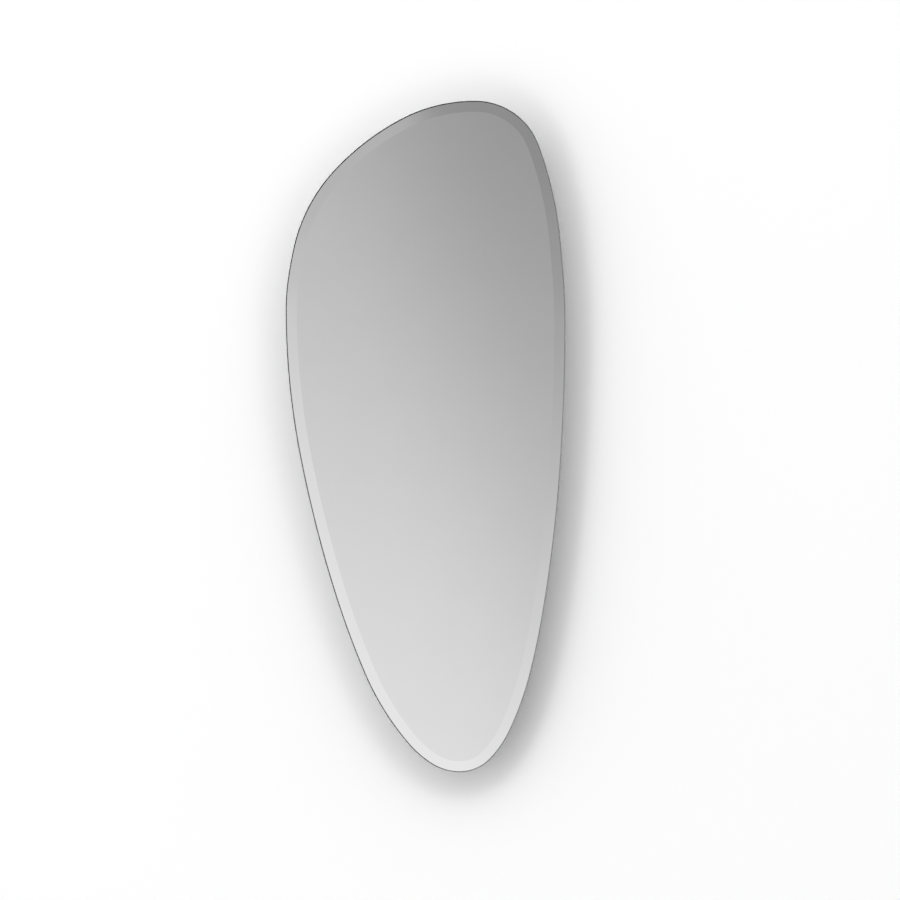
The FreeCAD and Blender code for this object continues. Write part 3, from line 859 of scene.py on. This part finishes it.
def make_world():
    """Room round the object: white to the camera, soft light from all round, and a room to be reflected.

    In reflections the room runs from light at the floor to grey above, with its upper right half darker.
    Towards the plane of the wall it turns to a dark ceiling and lighter sides, and behind the wall it
    brightens upwards.
    """
    settings = studio()
    world = bpy.data.worlds.new("studio room")
    bpy.context.scene.world = world
    world.use_nodes = True
    tree = world.node_tree
    tree.nodes.clear()
    way = add(tree, "SeparateXYZ", {0: add(tree, "TexCoord").outputs["Generated"]})
    behind = add(tree, "Math", {0: way.outputs["Y"], 1: IN_PLANE}, operation="GREATER_THAN").outputs[0]
    rear = add(tree, "MapRange", {
        "Value": way.outputs["Z"], "From Min": -1.0,
        "To Min": (1 - settings.rear_lift) * settings.rear_level,
        "To Max": (1 + settings.rear_lift) * settings.rear_level}).outputs["Result"]
    soft = add(tree, "Mix", {0: behind, 2: settings.sky_level, 3: rear}, data_type="FLOAT").outputs[0]
    path = add(tree, "LightPath")
    mirrored = reflected_room(tree, way, behind)
    sky = add(tree, "Mix", {0: path.outputs["Is Glossy Ray"], 2: soft, 3: mirrored},
              data_type="FLOAT").outputs[0]
    seen = add(tree, "Mix", {0: path.outputs["Is Camera Ray"], 2: sky, 3: 1.0},
               data_type="FLOAT").outputs[0]
    background = add(tree, "Background", {"Color": (1, 1, 1, 1), "Strength": seen})
    add(tree, "OutputWorld", {"Surface": background.outputs[0]})


def reflected_room(tree, way, behind):
    """Brightness of the room in reflections, by the slopes a = x / -y and b = z / -y of the way into it.

    With s(t) = 1 / (1 + e^t) it is 0.446 + 0.412 s(1.46 a + 10.78 b) - 0.19 s(0.56 - 39.2 a - 11.6 b)
    s(12.1 a - 12.7 b - 4.46), and 0.15 (b - 0.2) more where b is above 0.2.
    """
    x, y, z = way.outputs
    ahead = add(tree, "Math", {0: y, 1: -1.0}, operation="MULTIPLY").outputs[0]
    away = add(tree, "Math", {0: ahead, 1: IN_PLANE}, operation="MAXIMUM").outputs[0]
    across = add(tree, "Math", {0: x, 1: away}, operation="DIVIDE").outputs[0]
    rise = add(tree, "Math", {0: z, 1: away}, operation="DIVIDE").outputs[0]
    floor_light = falling(tree, across, rise, 1.457, 10.778, -0.023)
    to_right = falling(tree, across, rise, -39.25, -11.565, 0.562)
    upper = falling(tree, across, rise, 12.1, -12.69, -4.46)
    dark = add(tree, "Math", {0: to_right, 1: upper}, operation="MULTIPLY").outputs[0]
    level = add(tree, "Math", {0: floor_light, 1: 0.412, 2: 0.446}, operation="MULTIPLY_ADD").outputs[0]
    shaded = add(tree, "Math", {0: dark, 1: -0.19, 2: level}, operation="MULTIPLY_ADD").outputs[0]
    high = add(tree, "MapRange", {"Value": rise, "From Min": 0.2, "To Max": 0.12}).outputs["Result"]
    room = add(tree, "Math", {0: shaded, 1: high}, operation="ADD").outputs[0]
    rising = add(tree, "Math", {0: z, 1: 0.0}, operation="MAXIMUM").outputs[0]
    side = add(tree, "Math", {0: x, 1: 0.28, 2: 0.6}, operation="MULTIPLY_ADD").outputs[0]
    ceiling = add(tree, "Math", {0: rising, 1: -0.58, 2: side}, operation="MULTIPLY_ADD").outputs[0]
    frontal = add(tree, "MapRange", {"Value": ahead, "From Min": 0.4, "From Max": 0.8},
                  interpolation_type="SMOOTHSTEP").outputs["Result"]
    toward = add(tree, "Mix", {0: frontal, 2: ceiling, 3: room}, data_type="FLOAT").outputs[0]
    back_room = add(tree, "Math", {0: falling(tree, x, z, 1.0, -6.0, 0.3), 1: 0.6, 2: 0.4},
                    operation="MULTIPLY_ADD").outputs[0]
    return add(tree, "Mix", {0: behind, 2: toward, 3: back_room}, data_type="FLOAT").outputs[0]


def make_sun(name, towards, level, facing, spread):
    """Distant lamp from the given direction, which gives a surface that faces so that level of white."""
    source = np.array(towards, float)
    source /= np.linalg.norm(source)
    lamp = bpy.data.lights.new(name, "SUN")
    lamp.energy = level * math.pi / float(source @ np.array(facing))
    lamp.angle = spread
    holder = bpy.data.objects.new(name, lamp)
    holder.rotation_euler = Vector(source).to_track_quat("Z", "Y").to_euler()
    holder.visible_glossy = False
    bpy.context.scene.collection.objects.link(holder)


def make_wall_wash(wall, count=12):
    """Ring of softboxes round the mirror, close to the wall, which lights the wall alone.

    The one in direction p from the middle of the glass has a brightness of
    level (1 + bias cos(p - brightest)).
    """
    settings = studio()
    lit = bpy.data.collections.new("lit by the wall wash")
    lit.objects.link(wall)
    middle = (GLASS_LOW + GLASS_HIGH) / 2
    width = 2 * settings.wash_radius * math.tan(math.pi / count)
    for step in range(count):
        turn = 2 * math.pi * step / count
        outwards = Vector((math.cos(turn), 0, math.sin(turn)))
        along = Vector((-math.sin(turn), 0, math.cos(turn)))
        lamp = bpy.data.lights.new("softbox", "AREA")
        lamp.shape = "RECTANGLE"
        lamp.size = width
        lamp.size_y = settings.wash_reach
        brightness = settings.wash_level * (1 + settings.wash_bias * math.cos(turn - settings.wash_from))
        lamp.energy = brightness * math.pi * width * settings.wash_reach
        holder = bpy.data.objects.new("softbox", lamp)
        holder.matrix_world = Matrix((along, (0, -1, 0), outwards)).transposed().to_4x4()
        centre = outwards * settings.wash_radius
        holder.location = (middle[0] + centre.x, -settings.wash_reach / 2, middle[2] + centre.z)
        holder.visible_camera = False
        holder.visible_glossy = False
        holder.light_linking.receiver_collection = lit
        bpy.context.scene.collection.objects.link(holder)


def make_lamps():
    """Lights from beside and above, behind the plane of the wall, for the sides and back of the object."""
    settings = studio()
    make_sun("top_light", TOP_LIGHT, settings.top_level, (0, 0, 1), TOP_LIGHT_SPREAD)
    make_sun("left_light", LEFT_LIGHT, settings.side_level, (-1, 0, 0), SIDE_LIGHT_SPREAD)
    make_sun("right_light", RIGHT_LIGHT, settings.side_level, (1, 0, 0), SIDE_LIGHT_SPREAD)


def make_camera():
    """Camera square to the wall, as far off as the lens needs for the picture's width."""
    settings = studio()
    lens = bpy.data.cameras.new("camera")
    lens.lens = settings.lens
    lens.sensor_width = 36.0
    distance = settings.picture_width * lens.lens / lens.sensor_width
    camera = bpy.data.objects.new("camera", lens)
    middle = (GLASS_LOW + GLASS_HIGH) / 2
    camera.location = (middle[0] + settings.aim[0], GLASS_LOW[1] - distance, middle[2] + settings.aim[1])
    camera.rotation_euler = (math.radians(90), 0, 0)
    bpy.context.scene.collection.objects.link(camera)
    bpy.context.scene.camera = camera
    bpy.context.scene.view_settings.view_transform = "Standard"


# ---------------------------------------------------------------- add-on


class MIRROR_PT_panel(bpy.types.Panel):
    """Panel that lists the mirror's pieces"""

    bl_idname = "MIRROR_PT_panel"
    bl_label = "Irregular mirror"
    bl_space_type = "VIEW_3D"
    bl_region_type = "UI"
    bl_category = "Mirror"

    def draw(self, context):
        for piece in PIECES:
            self.layout.operator(piece.bl_idname)


PIECES = (
    MIRROR_OT_pane,
    MIRROR_OT_film,
    MIRROR_OT_board,
    MIRROR_OT_bonds,
    MIRROR_OT_rails,
    MIRROR_OT_bumpers,
    MIRROR_OT_fasteners,
    MIRROR_OT_stage,
)
CLASSES = (MIRROR_PG_sizes, MIRROR_PG_finishes, MIRROR_PG_studio, *PIECES, MIRROR_PT_panel)


def register():
    for item in CLASSES:
        bpy.utils.register_class(item)
    bpy.types.Scene.mirror_sizes = PointerProperty(type=MIRROR_PG_sizes)
    bpy.types.Scene.mirror_finishes = PointerProperty(type=MIRROR_PG_finishes)
    bpy.types.Scene.mirror_studio = PointerProperty(type=MIRROR_PG_studio)


def unregister():
    del bpy.types.Scene.mirror_sizes
    del bpy.types.Scene.mirror_finishes
    del bpy.types.Scene.mirror_studio
    for item in reversed(CLASSES):
        bpy.utils.unregister_class(item)


def main():
    register()
    for piece in PIECES:
        getattr(bpy.ops.mirror, piece.bl_idname.split(".")[1])()


if __name__ == "__main__":
    main()
